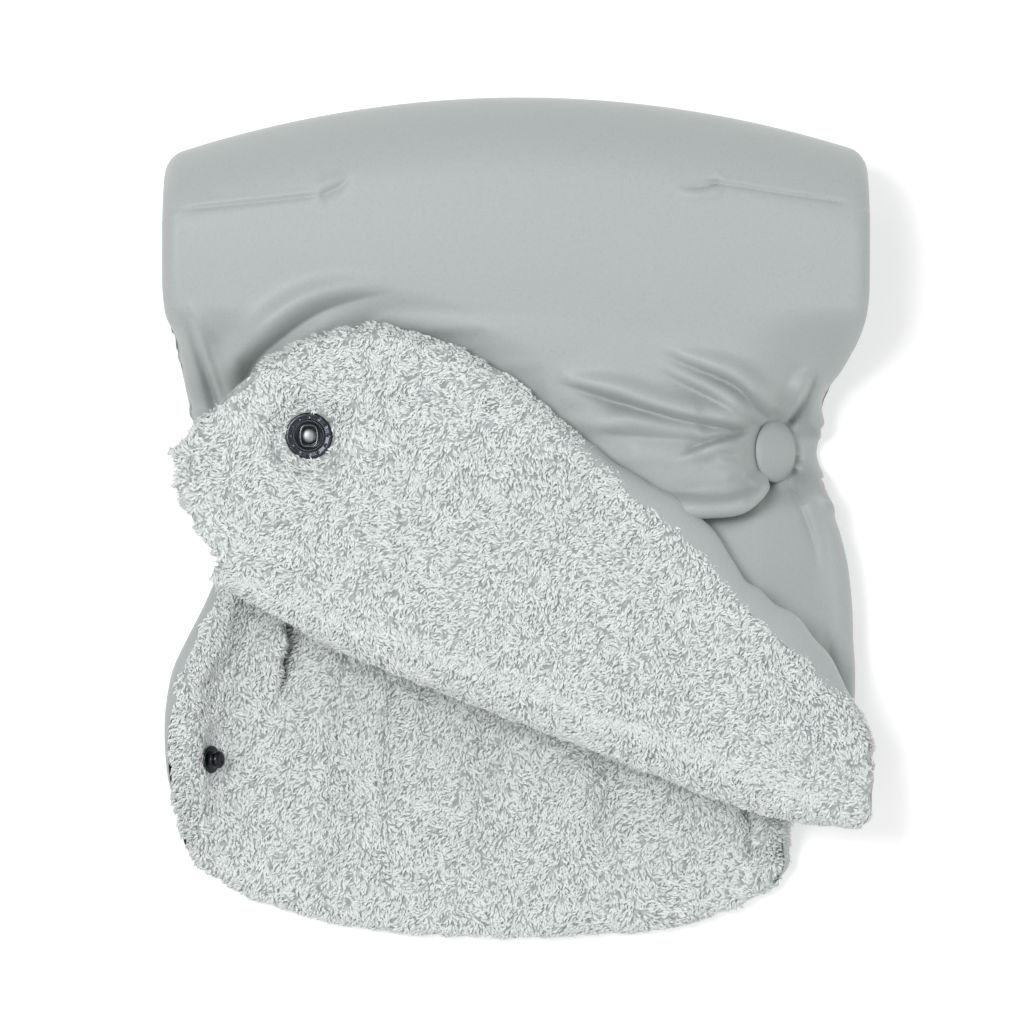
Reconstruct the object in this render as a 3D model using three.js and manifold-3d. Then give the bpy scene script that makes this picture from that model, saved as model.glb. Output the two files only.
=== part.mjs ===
// Hand warmer muff for a pushchair handlebar: one padded panel folded over at the top, pinched
// together at both sides by four snaps, with the front's lower part folded up diagonally.
// Millimetres, +Z up, +Y towards the top fold, lying on its back panel.
import * as THREE from 'three';
import { mergeVertices } from 'three/addons/utils/BufferGeometryUtils.js';
import Module from 'manifold-3d';

const wasm = await Module();
wasm.setup();

// ---- Driving dimensions -------------------------------------------------------------------
const TOP_Y = 168;            // the top fold's outermost line
const TOP_BOW = 23;           // how far the fold's ends fall back from its middle
const HEM_Y = -168;           // the back panel's hem at its middle
const ROLL_R = 35;            // outer radius of the rolled top fold
const PANEL_T = 14;           // a padded panel, away from seams and snaps
const EDGE_T = 7;             // a padded panel at its hems
const SNAP_T = 6.6;           // a padded panel squeezed under a snap
const SHELL_T = 0.8;          // outer shell cloth
const LINING_T = 3.5;         // pile lining
const LINING_MIN = 2.0;       // pile lining where it is squeezed
const GAP = 0.4;              // clearance between layers
const FOLD_START = [-103, -29, 60];    // the diagonal fold's left end
const FOLD_SLOPE = 0.384;              // how steeply the fold runs down to the right
const FOLD_SINK = 0.0545;              // how the fold sinks along its length
const FRONT_CLEAR = 0.5;      // the front panel lies this far under the fold's plane
const FLAP_CLEAR = 0.4;       // and the turned-up flap this far over it
const SIDE_SEGMENTS = 12;     // facets round each snap part
const BACK_GRID = { columns: 14, rows: 17 };
const FRONT_GRID = { columns: 12, rows: 14 };
const FLAP_GRID = { columns: 12, rows: 5 };
const ROLL_ROWS = 4;          // rows of the back's and front's grids that make the top roll
const ROLL_ARC = 88.6;        // each panel's share of the roll, just short of meeting

// ---- Small helpers ------------------------------------------------------------------------
const clamp = (t) => Math.min(1, Math.max(0, t));
const ease = (t) => clamp(t) * clamp(t) * (3 - 2 * clamp(t));
const mix = (a, b, t) => a + (b - a) * t;

// Straight-line interpolation through [place, value] pairs.
function along(table, place) {
  for (let k = 1; k < table.length; k += 1) {
    if (place <= table[k][0]) {
      const [p0, v0] = table[k - 1];
      const [p1, v1] = table[k];
      return mix(v0, v1, clamp((place - p0) / (p1 - p0)));
    }
  }
  return table[table.length - 1][1];
}

// ---- Materials ----------------------------------------------------------------------------
const LOOKS = {
  shell_cloth: { color: 0xaeb7b6, roughness: 0.75, metalness: 0 },
  wadding: { color: 0xf2f2ee, roughness: 1, metalness: 0 },
  pile_lining: { color: 0xd9dddd, roughness: 1, metalness: 0 },
  cap_metal: { color: 0x8d9090, roughness: 0.45, metalness: 1 },
  snap_metal: { color: 0x34363a, roughness: 0.28, metalness: 1 },
  spring_wire: { color: 0x55585c, roughness: 0.3, metalness: 1 },
};

const group = new THREE.Group();
group.name = 'hand_warmer_muff';

function addMesh(name, geometry, look) {
  const material = new THREE.MeshStandardMaterial({ ...LOOKS[look] });
  material.name = look;
  const mesh = new THREE.Mesh(geometry, material);
  mesh.name = name;
  group.add(mesh);
}

// ---- The diagonal fold's frame ------------------------------------------------------------
const FOLD_RUN = Math.hypot(1, FOLD_SLOPE);
const ALONG = [1 / FOLD_RUN, -FOLD_SLOPE / FOLD_RUN];
const ACROSS = [FOLD_SLOPE / FOLD_RUN, 1 / FOLD_RUN];

function foldCoords(x, y) {
  const dx = x - FOLD_START[0];
  const dy = y - FOLD_START[1];
  return [dx * ALONG[0] + dy * ALONG[1], dx * ACROSS[0] + dy * ACROSS[1]];
}

function foldPoint(p, q) {
  const x = FOLD_START[0] + p * ALONG[0] + q * ACROSS[0];
  const y = FOLD_START[1] + p * ALONG[1] + q * ACROSS[1];
  return [x, y];
}

const foldHeight = (x, y) => FOLD_START[2] - FOLD_SINK * foldCoords(x, y)[0];
const foldLineY = (x) => FOLD_START[1] - FOLD_SLOPE * (x - FOLD_START[0]);

// The flap's outline in the fold's frame: near and far edges at places along the fold.
const FLAP_NEAR = [[-50, 32], [-43, 25], [-30, 13], [-10, 0.6], [0, 0.6], [256, 0.6]];
const FLAP_FAR = [
  [-50, 44], [-43, 61], [-34, 81], [-21, 97], [-5, 110], [10, 116], [39, 118], [67, 113],
  [87, 106], [117, 94], [147, 84], [178, 68], [209, 55], [235, 43], [248, 32], [256, 18],
];

// ---- Snaps --------------------------------------------------------------------------------
// Each snap's middle lies on its axis between the two linings; the axis points to the cap side.
const lean = (degrees) => {
  const angle = THREE.MathUtils.degToRad(degrees);
  return new THREE.Vector3(Math.sin(angle), 0, Math.cos(angle));
};
const SNAPS = {
  upper_left: { front: [-105, 27, 14.5], back: [-105, 27, 14.5], cap: lean(-8), stud: lean(-8) },
  upper_right: { front: [95, 27, 20], back: [95, 27, 20], cap: lean(50), stud: lean(50) },
  lower_left: {
    front: [-83.6, 32.6, 68.2],
    back: [-123.3, -96.6, 25.8],
    cap: new THREE.Vector3(0, 0, -1),
    stud: lean(59),
  },
  lower_right: { front: [116, -93, 15], back: [116, -93, 15], cap: lean(6), stud: lean(6) },
};

const PINCH_FLAT = 12;        // the cloth is squeezed flat this far round a snap
const PINCH_REACH = 36;       // and is back to its full thickness at this distance
// How far each snap pulls the back panel up; the upper right one stands over the hand space.
const BACK_REACH = { upper_left: 36, upper_right: 27, lower_right: 36 };

// How strongly a snap squeezes the cloth at a place: one at the snap, falling to none.
const pinch = (at, x, y, flat = PINCH_FLAT, reach = PINCH_REACH) => {
  const away = Math.hypot(x - at[0], y - at[1]);
  return 1 - ease((away - flat) / (reach - flat));
};

// Height of the plane square to a snap's axis, a stated way along that axis.
const planeHeight = (at, axis, off, x, y) => {
  const slide = off - axis.x * (x - at[0]) - axis.y * (y - at[1]);
  return at[2] + slide / axis.z;
};

const CLOSED = ['upper_left', 'upper_right', 'lower_right'];
const CLOTH_OFF = 8.1;        // a squeezed panel's outer face, measured from the snap's middle

// ---- The back panel -----------------------------------------------------------------------
const BACK_LEFT = [
  [-168, -130], [-150, -137], [-125, -144], [-85, -143], [-65, -137], [-41, -130], [-18, -124],
  [33, -132], [99, -142], [168, -142],
];
const BACK_RIGHT = [
  [-168, 107], [-147, 109], [-125, 112], [-95, 130], [-40, 130], [35, 119], [99, 138],
  [168, 138],
];
const WALL_LEFT = [[-168, 30], [-140, 60], [-120, 70], [-60, 66], [-30, 45], [0, 4], [168, 0.5]];
const WALL_RIGHT = [[-168, 40], [-140, 72], [-122, 70], [-100, 12], [-80, 1], [168, 0.5]];
const LEFT_R = 38;            // how gently the left wall curls up
const RIGHT_R = 22;           // how gently the right wall curls up

const hemY = (x) => HEM_Y + (x < 0 ? 30 * (-x / 136) ** 3 : 22 * (x / 108) ** 3);
const topY = (x) => TOP_Y - ROLL_R - TOP_BOW * (x / 140) ** 2;

function backBase(u, v) {
  const rollPart = ROLL_ROWS / BACK_GRID.rows;
  const floor = clamp((v - rollPart) / (1 - rollPart));
  const nominal = mix(TOP_Y - ROLL_R, HEM_Y, floor);
  const turnLeft = THREE.MathUtils.degToRad(along(WALL_LEFT, nominal));
  const turnRight = THREE.MathUtils.degToRad(along(WALL_RIGHT, nominal));
  const left = along(BACK_LEFT, nominal) + LEFT_R * Math.sin(turnLeft);
  const right = along(BACK_RIGHT, nominal) - RIGHT_R * Math.sin(turnRight);
  const start = left - LEFT_R * turnLeft;
  const stop = right + RIGHT_R * turnRight;
  const run = mix(start, stop, u);
  let x = run;
  let z = 0;
  let inward = new THREE.Vector3(0, 0, 1);
  if (run < left) {
    const turn = (left - run) / LEFT_R;
    x = left - LEFT_R * Math.sin(turn);
    z = LEFT_R * (1 - Math.cos(turn));
    inward = new THREE.Vector3(Math.sin(turn), 0, Math.cos(turn));
  } else if (run > right) {
    const turn = (run - right) / RIGHT_R;
    x = right + RIGHT_R * Math.sin(turn);
    z = RIGHT_R * (1 - Math.cos(turn));
    inward = new THREE.Vector3(-Math.sin(turn), 0, Math.cos(turn));
  }
  const rollAngle = THREE.MathUtils.degToRad(-90 + ROLL_ARC * clamp(1 - v / rollPart));
  if (v < rollPart) {
    const at = new THREE.Vector3(
      x,
      topY(x) + ROLL_R * Math.cos(rollAngle),
      ROLL_R + ROLL_R * Math.sin(rollAngle),
    );
    const toCentre = new THREE.Vector3(0, -Math.cos(rollAngle), -Math.sin(rollAngle));
    return { at, inward: toCentre, squeeze: 0 };
  }
  const y = mix(topY(x), hemY(x), floor);
  let squeeze = 0;
  for (const key of CLOSED) {
    const { back, stud } = SNAPS[key];
    const here = pinch(back, x, y, 11, BACK_REACH[key]);
    z = mix(z, Math.max(0, planeHeight(back, stud, -CLOTH_OFF, x, y)), here);
    squeeze = Math.max(squeeze, here);
  }
  const onWall = pinch(SNAPS.lower_left.back, x + 10, y, 9, 30);
  const at = new THREE.Vector3(x, y, z);
  at.addScaledVector(inward, 6 * onWall);
  return { at, inward, squeeze: Math.max(squeeze, onWall) };
}

// ---- The front panel ----------------------------------------------------------------------
const FRONT_LEFT = [[0, -142], [0.2, -142], [0.6, -131], [1, -107]];
const FRONT_RIGHT = [[0, 138], [0.14, 138], [0.4, 119], [0.6, 130], [0.75, 132], [1, 127]];

function frontHeight(x, y) {
  const [p, q] = foldCoords(x, y);
  const under = foldHeight(x, y) - FRONT_CLEAR;
  const beyond = ease((q - along(FLAP_FAR, p) + 2) / 26);
  const open = mix(54, 2 * ROLL_R, ease((y - 20) / 100));
  let z = mix(under, Math.max(under, open), beyond);
  const side = x < 0 ? ease((-x - 100) / 30) : ease((x - 96) / 34);
  const below = ease((78 - y) / 30);
  z = mix(z, 27, side * below);
  let squeeze = 0;
  for (const key of CLOSED) {
    const { front, cap } = SNAPS[key];
    const here = pinch(front, x, y);
    z = mix(z, planeHeight(front, cap, CLOTH_OFF, x, y), here);
    squeeze = Math.max(squeeze, here);
  }
  z -= 4.2 * pinch(SNAPS.lower_left.front, x, y, 13, 28);
  return { z, squeeze };
}

function frontBase(u, v) {
  const rollPart = ROLL_ROWS / FRONT_GRID.rows;
  const down = clamp((v - rollPart) / (1 - rollPart));
  const x = mix(along(FRONT_LEFT, down), along(FRONT_RIGHT, down), u);
  if (v < rollPart) {
    const rollAngle = THREE.MathUtils.degToRad(90 - ROLL_ARC * clamp(1 - v / rollPart));
    const at = new THREE.Vector3(
      x,
      topY(x) + ROLL_R * Math.cos(rollAngle),
      ROLL_R + ROLL_R * Math.sin(rollAngle),
    );
    const toCentre = new THREE.Vector3(0, -Math.cos(rollAngle), -Math.sin(rollAngle));
    return { at, inward: toCentre, squeeze: 0 };
  }
  const y = mix(topY(x), foldLineY(x) + 0.6, down);
  const { z, squeeze } = frontHeight(x, y);
  return { at: new THREE.Vector3(x, y, z), inward: new THREE.Vector3(0, 0, -1), squeeze };
}

// ---- The turned-up flap -------------------------------------------------------------------
function flapBase(u, v) {
  const p = mix(-50, 256, u);
  const q = mix(along(FLAP_NEAR, p), along(FLAP_FAR, p), v);
  const [x, y] = foldPoint(p, q);
  const ends = 7 * ease((-10 - p) / 40) + 11 * ease((p - 205) / 50);
  const squeeze = pinch(SNAPS.lower_left.front, x, y, 12, 26);
  const z = foldHeight(x, y) + FLAP_CLEAR - ends * ease(q / 12) + 2.2 * squeeze;
  return { at: new THREE.Vector3(x, y, z), inward: new THREE.Vector3(0, 0, 1), squeeze };
}

// ---- Building a panel's layers ------------------------------------------------------------
// One closed layer between two depths under a panel's outer face.
function layer(base, columns, rows, depths) {
  const width = columns + 1;
  const count = width * (rows + 1);
  const positions = new Float32Array(count * 6);
  for (let j = 0; j <= rows; j += 1) {
    for (let i = 0; i <= columns; i += 1) {
      const { at, inward, squeeze } = base(i / columns, j / rows);
      const rim = Math.min(i, columns - i, rows - j, 1);
      const full = mix(EDGE_T, PANEL_T, rim);
      const [near, far] = depths(mix(full, SNAP_T, squeeze), squeeze);
      const sunk = (1 - rim) * (1 - squeeze) * 3;
      const k = (j * width + i) * 3;
      at.clone().addScaledVector(inward, near + sunk).toArray(positions, k);
      at.clone().addScaledVector(inward, far + sunk).toArray(positions, count * 3 + k);
    }
  }
  const index = [];
  const quad = (a, b, c, d) => index.push(a, b, c, a, c, d);
  for (let j = 0; j < rows; j += 1) {
    for (let i = 0; i < columns; i += 1) {
      const a = j * width + i;
      quad(a, a + 1, a + 1 + width, a + width);
      quad(a + count, a + count + width, a + count + 1 + width, a + count + 1);
    }
  }
  for (let i = 0; i < columns; i += 1) {
    const last = rows * width + i;
    quad(i + 1, i, i + count, i + 1 + count);
    quad(last, last + 1, last + 1 + count, last + count);
  }
  for (let j = 0; j < rows; j += 1) {
    const a = j * width;
    const b = a + columns;
    quad(a, a + width, a + width + count, a + count);
    quad(b + width, b, b + count, b + width + count);
  }
  const geometry = new THREE.BufferGeometry();
  geometry.setAttribute('position', new THREE.BufferAttribute(positions, 3));
  geometry.setIndex(index);
  return outward(geometry);
}

// Signed volume of a closed indexed mesh; faces are turned over where it is negative.
function outward(geometry) {
  const place = geometry.attributes.position;
  const index = geometry.index.array;
  const corner = [new THREE.Vector3(), new THREE.Vector3(), new THREE.Vector3()];
  let volume = 0;
  for (let f = 0; f < index.length; f += 3) {
    corner.forEach((point, k) => point.fromBufferAttribute(place, index[f + k]));
    volume += corner[0].dot(corner[1].clone().cross(corner[2]));
  }
  if (volume < 0) {
    const turned = [];
    for (let f = 0; f < index.length; f += 3) {
      turned.push(index[f], index[f + 2], index[f + 1]);
    }
    geometry.setIndex(turned);
  }
  return geometry;
}

// ---- Booleans -----------------------------------------------------------------------------
function toSolid(geometry) {
  const bare = geometry.clone();
  bare.deleteAttribute('normal');
  bare.deleteAttribute('uv');
  const merged = mergeVertices(bare, 1e-4);
  return new wasm.Manifold(new wasm.Mesh({
    numProp: 3,
    vertProperties: new Float32Array(merged.attributes.position.array),
    triVerts: new Uint32Array(merged.index.array),
  }));
}

function fromSolid(solid) {
  const bodies = solid.decompose();
  bodies.sort((a, b) => b.volume() - a.volume());
  const mesh = bodies[0].getMesh();
  const geometry = new THREE.BufferGeometry();
  const places = new Float32Array(mesh.vertProperties);
  geometry.setAttribute('position', new THREE.BufferAttribute(places, 3));
  geometry.setIndex([...mesh.triVerts]);
  return geometry;
}

// ---- Snap parts ---------------------------------------------------------------------------
// Profiles are [radius, height] pairs up the snap's axis.
const revolve = (profile, segments = SIDE_SEGMENTS) => {
  const points = profile.map(([r, h]) => new THREE.Vector2(r, h));
  const geometry = new THREE.LatheGeometry(points, segments);
  geometry.rotateX(Math.PI / 2);
  geometry.deleteAttribute('normal');
  geometry.deleteAttribute('uv');
  return outward(mergeVertices(geometry, 1e-4));
};

const PARTS = {
  cap_cover: [
    [12.3, 8.5], [12.6, 9.3], [10.4, 11.1], [5, 11.9], [0, 12.1], [0, 11.4], [4.9, 11.2],
    [9.9, 10.4], [11.8, 9.1], [11.7, 8.5], [12.3, 8.5],
  ],
  cap: [
    [0, 4.0], [2, 4.2], [3.3, 4.7], [2.3, 4.8], [2.3, 8.6], [11.3, 8.6], [11.3, 8.9],
    [9.4, 10.0], [4.8, 10.8], [0, 11.0],
  ],
  socket: [
    [5.2, 0.3], [9, 0.3], [9.1, 1.2], [6.4, 1.4], [6.3, 5.8], [2.7, 5.8], [2.7, 5.1],
    [5.6, 5.1], [5.2, 0.3],
  ],
  stud: [
    [1.5, -1.1], [5.6, -1.1], [5.6, -0.4], [2.6, 0.1], [2.6, 2.1], [3.5, 2.5], [3.4, 3.4],
    [2.4, 3.8], [0, 3.8], [0, 3.1], [1.5, 3.1], [1.5, -1.1],
  ],
  stud_cap: [
    [0, -10.4], [8, -10.2], [10, -9.4], [10, -8.6], [1.1, -8.6], [1.1, 2.6], [0, 2.6],
  ],
  stud_cap_cover: [
    [11.1, -8.5], [11.1, -9.6], [8.6, -11.3], [0, -11.5], [0, -10.8], [8.3, -10.6],
    [10.4, -9.5], [10.4, -8.5], [11.1, -8.5],
  ],
};
const LOOK_OF = {
  cap_cover: 'shell_cloth',
  cap: 'cap_metal',
  socket: 'snap_metal',
  stud: 'snap_metal',
  stud_cap: 'cap_metal',
  stud_cap_cover: 'shell_cloth',
};

// The room a snap half needs in the cloth it pierces.
const CAP_ROOM = [
  [0, -3], [9.6, -3], [9.6, 1.5], [7, 1.5], [7, 6.2], [2.8, 6.2], [2.8, 8.15], [13.2, 8.15],
  [13.2, 40], [0, 40],
];
const STUD_ROOM = [
  [0, -40], [11.8, -40], [11.8, -8.15], [1.6, -8.15], [1.6, -1.5], [9.6, -1.5], [9.6, 12],
  [0, 12],
];
const WALL_STUD_ROOM = [
  [0, -16], [11.8, -16], [11.8, -8.15], [1.6, -8.15], [1.6, -1.5], [6.2, -1.5], [6.2, 12],
  [0, 12],
];

function placed(geometry, at, axis) {
  const turn = new THREE.Quaternion().setFromUnitVectors(new THREE.Vector3(0, 0, 1), axis);
  const moved = geometry.clone();
  moved.applyQuaternion(turn);
  moved.translate(at[0], at[1], at[2]);
  return moved;
}

// The spring: one closed racetrack loop of wire held in the socket's mouth, a little open.
function springGeometry() {
  const half = 3.4;
  const reach = 2.9;
  const bow = 1.4;
  const wire = 0.4;
  const height = 1.55;
  const path = [];
  for (let k = 0; k < 4; k += 1) {
    path.push([half, mix(-reach, reach, k / 3)]);
  }
  for (let k = 1; k < 4; k += 1) {
    const angle = (k / 4) * Math.PI;
    path.push([half * Math.cos(angle), reach + bow * Math.sin(angle)]);
  }
  for (let k = 0; k < 4; k += 1) {
    path.push([-half, mix(reach, -reach, k / 3)]);
  }
  for (let k = 1; k < 4; k += 1) {
    const angle = Math.PI + (k / 4) * Math.PI;
    path.push([half * Math.cos(angle), -reach + bow * Math.sin(angle)]);
  }
  const sides = 5;
  const positions = [];
  const index = [];
  const n = path.length;
  for (let k = 0; k < n; k += 1) {
    const before = path[(k + n - 1) % n];
    const after = path[(k + 1) % n];
    const side = new THREE.Vector2(after[1] - before[1], before[0] - after[0]).normalize();
    for (let s = 0; s < sides; s += 1) {
      const angle = (s / sides) * 2 * Math.PI;
      const out = wire * Math.cos(angle);
      positions.push(path[k][0] + side.x * out, path[k][1] + side.y * out);
      positions.push(height + wire * Math.sin(angle));
      const a = k * sides + s;
      const b = k * sides + ((s + 1) % sides);
      const c = ((k + 1) % n) * sides + ((s + 1) % sides);
      const d = ((k + 1) % n) * sides + s;
      index.push(a, b, c, a, c, d);
    }
  }
  const geometry = new THREE.BufferGeometry();
  geometry.setAttribute('position', new THREE.BufferAttribute(new Float32Array(positions), 3));
  geometry.setIndex(index);
  return outward(geometry);
}

for (const [key, snap] of Object.entries(SNAPS)) {
  for (const part of ['cap_cover', 'cap', 'socket']) {
    const geometry = placed(revolve(PARTS[part]), snap.front, snap.cap);
    addMesh(`${key}_${part}`, geometry, LOOK_OF[part]);
  }
  const spring = placed(springGeometry(), snap.front, snap.cap);
  addMesh(`${key}_spring`, spring, 'spring_wire');
  for (const part of ['stud', 'stud_cap', 'stud_cap_cover']) {
    const geometry = placed(revolve(PARTS[part]), snap.back, snap.stud);
    addMesh(`${key}_${part}`, geometry, LOOK_OF[part]);
  }
}

// ---- Panels with the snaps' holes cut through ----------------------------------------------
const ROOM = {
  back: ['upper_left', 'upper_right', 'lower_right', 'lower_left'].map((key) => placed(
    revolve(key === 'lower_left' ? WALL_STUD_ROOM : STUD_ROOM),
    SNAPS[key].back,
    SNAPS[key].stud,
  )),
  front: CLOSED.map((key) => placed(revolve(CAP_ROOM), SNAPS[key].front, SNAPS[key].cap)),
  flap: [placed(revolve(CAP_ROOM), SNAPS.lower_left.front, SNAPS.lower_left.cap)],
};

const shellDepths = () => [0, SHELL_T];
const waddingDepths = (full, squeeze) => {
  const lining = mix(LINING_T, LINING_MIN, squeeze);
  return [SHELL_T + GAP, full - lining - GAP];
};
const liningDepths = (full, squeeze) => [full - mix(LINING_T, LINING_MIN, squeeze), full];

const PANELS = [
  ['back', backBase, BACK_GRID],
  ['front', frontBase, FRONT_GRID],
  ['flap', flapBase, FLAP_GRID],
];
for (const [name, base, { columns, rows }] of PANELS) {
  const layers = [
    ['shell', shellDepths, 'shell_cloth'],
    ['wadding', waddingDepths, 'wadding'],
    ['lining', liningDepths, 'pile_lining'],
  ];
  for (const [kind, depths, look] of layers) {
    let solid = toSolid(layer(base, columns, rows, depths));
    for (const room of ROOM[name]) {
      solid = solid.subtract(toSolid(room));
    }
    addMesh(`${name}_${kind}`, fromSolid(solid), look);
  }
}

export default group;
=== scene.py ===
"""Hand warmer muff: the visual model that stands over the CAD frame.

Lengths inside the classes are millimetres in the row frame (X right, Y towards the top fold,
Z up) and turn into metres where a mesh is made.
"""
import logging
import math
from dataclasses import dataclass, field
from enum import Enum

import bmesh
import bpy
import mathutils
import numpy as np
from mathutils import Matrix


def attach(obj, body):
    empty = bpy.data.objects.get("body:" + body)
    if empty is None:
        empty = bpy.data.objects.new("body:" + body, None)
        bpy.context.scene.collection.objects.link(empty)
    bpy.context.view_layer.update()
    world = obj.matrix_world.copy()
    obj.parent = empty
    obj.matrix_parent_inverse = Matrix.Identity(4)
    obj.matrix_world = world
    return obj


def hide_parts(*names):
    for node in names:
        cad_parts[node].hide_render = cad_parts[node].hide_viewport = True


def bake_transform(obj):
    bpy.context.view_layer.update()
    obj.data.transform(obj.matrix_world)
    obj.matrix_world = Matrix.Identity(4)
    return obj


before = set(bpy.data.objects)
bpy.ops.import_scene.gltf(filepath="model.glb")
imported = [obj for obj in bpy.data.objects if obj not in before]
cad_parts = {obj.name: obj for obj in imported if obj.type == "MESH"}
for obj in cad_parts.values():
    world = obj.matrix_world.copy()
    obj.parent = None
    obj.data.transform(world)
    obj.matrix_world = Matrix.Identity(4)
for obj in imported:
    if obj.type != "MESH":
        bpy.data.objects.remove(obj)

LOG = logging.getLogger("muff")
MM = 0.001
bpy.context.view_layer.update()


# ---- Numbers and curves ---------------------------------------------------------------------
def ease(t: np.ndarray) -> np.ndarray:
    """Smooth step: 3 t squared less 2 t cubed, held between nought and one."""
    t = np.clip(t, 0.0, 1.0)
    return t * t * (3.0 - 2.0 * t)


def mix(a, b, t):
    """Straight blend of a and b: a at t nought, b at t one."""
    return a + (b - a) * t


def along(table: list, place: np.ndarray, soften: float = 0.0) -> np.ndarray:
    """Reads a table of (place, value) pairs, averaged over a span so that corners round off.

    Args:
        table: Pairs in rising order of place.
        place: Where to read it.
        soften: Half the span that is averaged.

    Returns:
        The interpolated values.
    """
    places, values = np.array(table, dtype=float).T
    steps = (-1.0, -0.6, -0.2, 0.2, 0.6, 1.0) if soften else (0.0,)
    total = sum(np.interp(place + step * soften, places, values) for step in steps)
    return total / len(steps)


def noise(x: np.ndarray, y: np.ndarray, size: float, seed: int, waves: int = 24) -> np.ndarray:
    """Coherent noise: the sum of sine waves in random directions, about one unit high.

    Args:
        x: Places along the first direction.
        y: Places along the second direction.
        size: Typical width of a lump, in the units of x and y.
        seed: Picks the waves.
        waves: How many waves are summed.

    Returns:
        Values with a spread of about one.
    """
    rng = np.random.default_rng(seed)
    turn = rng.uniform(0, 2 * math.pi, waves)
    rate = math.pi / size * rng.uniform(0.55, 1.3, waves)
    phase = rng.uniform(0, 2 * math.pi, waves)
    total = np.zeros_like(x, dtype=float)
    for a, r, f in zip(turn, rate, phase):
        total += np.sin(r * (math.cos(a) * x + math.sin(a) * y) + f)
    return total * math.sqrt(2.0 / waves)


def unit(v: np.ndarray) -> np.ndarray:
    """Vectors of length one along the last axis."""
    return v / np.maximum(np.linalg.norm(v, axis=-1, keepdims=True), 1e-9)


def grid_normals(points: np.ndarray) -> np.ndarray:
    """Normals of a grid of points: the cross product of its two directions.

    Args:
        points: Array of rows, columns, 3.

    Returns:
        Unit normals, column direction crossed with row direction.
    """
    by_row, by_column = np.gradient(points, axis=0), np.gradient(points, axis=1)
    return unit(np.cross(by_column, by_row))


def curl_edge(points: np.ndarray, inward: np.ndarray, half, axis: int, last: bool,
              angle, steps: int = 9, rise: float = 0.0) -> tuple:
    """Rolls a grid's border over, as a stuffed edge does.

    Each added line lies on an arc: out by half times the sine of its angle, and towards the
    padding by half, or by rise where it is given, times one less its cosine.

    Args:
        points: Array of rows, columns, 3.
        inward: Unit vectors into the padding, the same shape.
        half: Arc radius, one number or one for each border point.
        axis: 0 to add rows, 1 to add columns.
        last: Whether the border is the last line along the axis.
        angle: How far round the edge the surface goes, in degrees, one number or one for each
            border point.
        steps: Lines added.
        rise: Arc radius towards the padding, where it isn't half.

    Returns:
        The longer points and inward arrays.
    """
    if not last:
        points, inward = np.flip(points, axis), np.flip(inward, axis)
    p = np.moveaxis(points, axis, 0)
    n = np.moveaxis(inward, axis, 0)
    out = unit(p[-1] - p[-9])
    reach = np.broadcast_to(np.asarray(half, dtype=float), p[-1].shape[:-1])[..., None]
    whole = np.radians(np.broadcast_to(np.asarray(angle, dtype=float), p[-1].shape[:-1]))
    turn = np.linspace(0, 1, steps + 1)[1:, None, None] * whole[..., None]
    lift = rise if rise else reach
    extra = p[-1] + out * reach * np.sin(turn) + n[-1] * lift * (1 - np.cos(turn))
    tilted = unit(n[-1] * np.cos(turn) - out * np.sin(turn))
    points = np.moveaxis(np.concatenate([p, extra]), 0, axis)
    inward = np.moveaxis(np.concatenate([n, tilted]), 0, axis)
    if not last:
        points, inward = np.flip(points, axis), np.flip(inward, axis)
    return points, inward


# ---- Meshes -----------------------------------------------------------------------------------
def mesh_object(name: str, points: np.ndarray, faces: np.ndarray):
    """Makes an object from points in millimetres and faces.

    Args:
        name: The piece's name.
        points: Array of points, 3.
        faces: Array of faces, three or four corners each.

    Returns:
        The new object, linked to the scene.
    """
    mesh = bpy.data.meshes.new(name)
    mesh.from_pydata((points * MM).tolist(), [], faces.tolist())
    mesh.update()
    mesh.shade_smooth()
    piece = bpy.data.objects.new(name, mesh)
    bpy.context.scene.collection.objects.link(piece)
    return piece


def grid_faces(rows: int, columns: int, wrap: bool = False) -> np.ndarray:
    """Corner numbers of a grid's quads.

    Args:
        rows: Points along the first axis.
        columns: Points along the second axis.
        wrap: Whether the last column joins the first.

    Returns:
        Array of quads, 4.
    """
    across = columns if wrap else columns - 1
    j, i = np.meshgrid(np.arange(rows - 1), np.arange(across), indexing="ij")
    k = (i + 1) % columns
    quads = [j * columns + i, j * columns + k, (j + 1) * columns + k, (j + 1) * columns + i]
    return np.stack(quads, -1).reshape(-1, 4)


def grid_object(name: str, points: np.ndarray, flip: bool = False):
    """An object from a grid of points, turned over where flip is set."""
    faces = grid_faces(points.shape[0], points.shape[1])
    if flip:
        faces = faces[:, ::-1]
    return mesh_object(name, points.reshape(-1, 3), faces)


# ---- Materials --------------------------------------------------------------------------------
def linear(code: str, alpha: float = 1.0) -> tuple:
    """An sRGB hex colour as linear RGBA."""
    srgb = [int(code[k:k + 2], 16) / 255 for k in (0, 2, 4)]
    rgb = [c / 12.92 if c <= 0.04045 else ((c + 0.055) / 1.055) ** 2.4 for c in srgb]
    return (*rgb, alpha)


def add_node(tree, kind: str, links: dict, **settings):
    """Adds one shader node.

    Args:
        tree: The material's node tree.
        kind: The node's type name.
        links: Input name to the output socket that feeds it, or to a plain value.
        **settings: Properties of the node itself.

    Returns:
        The new node.
    """
    node = tree.nodes.new(kind)
    for name, value in settings.items():
        setattr(node, name, value)
    for name, value in links.items():
        if isinstance(value, bpy.types.NodeSocket):
            tree.links.new(value, node.inputs[name])
        else:
            node.inputs[name].default_value = value
    return node


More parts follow.
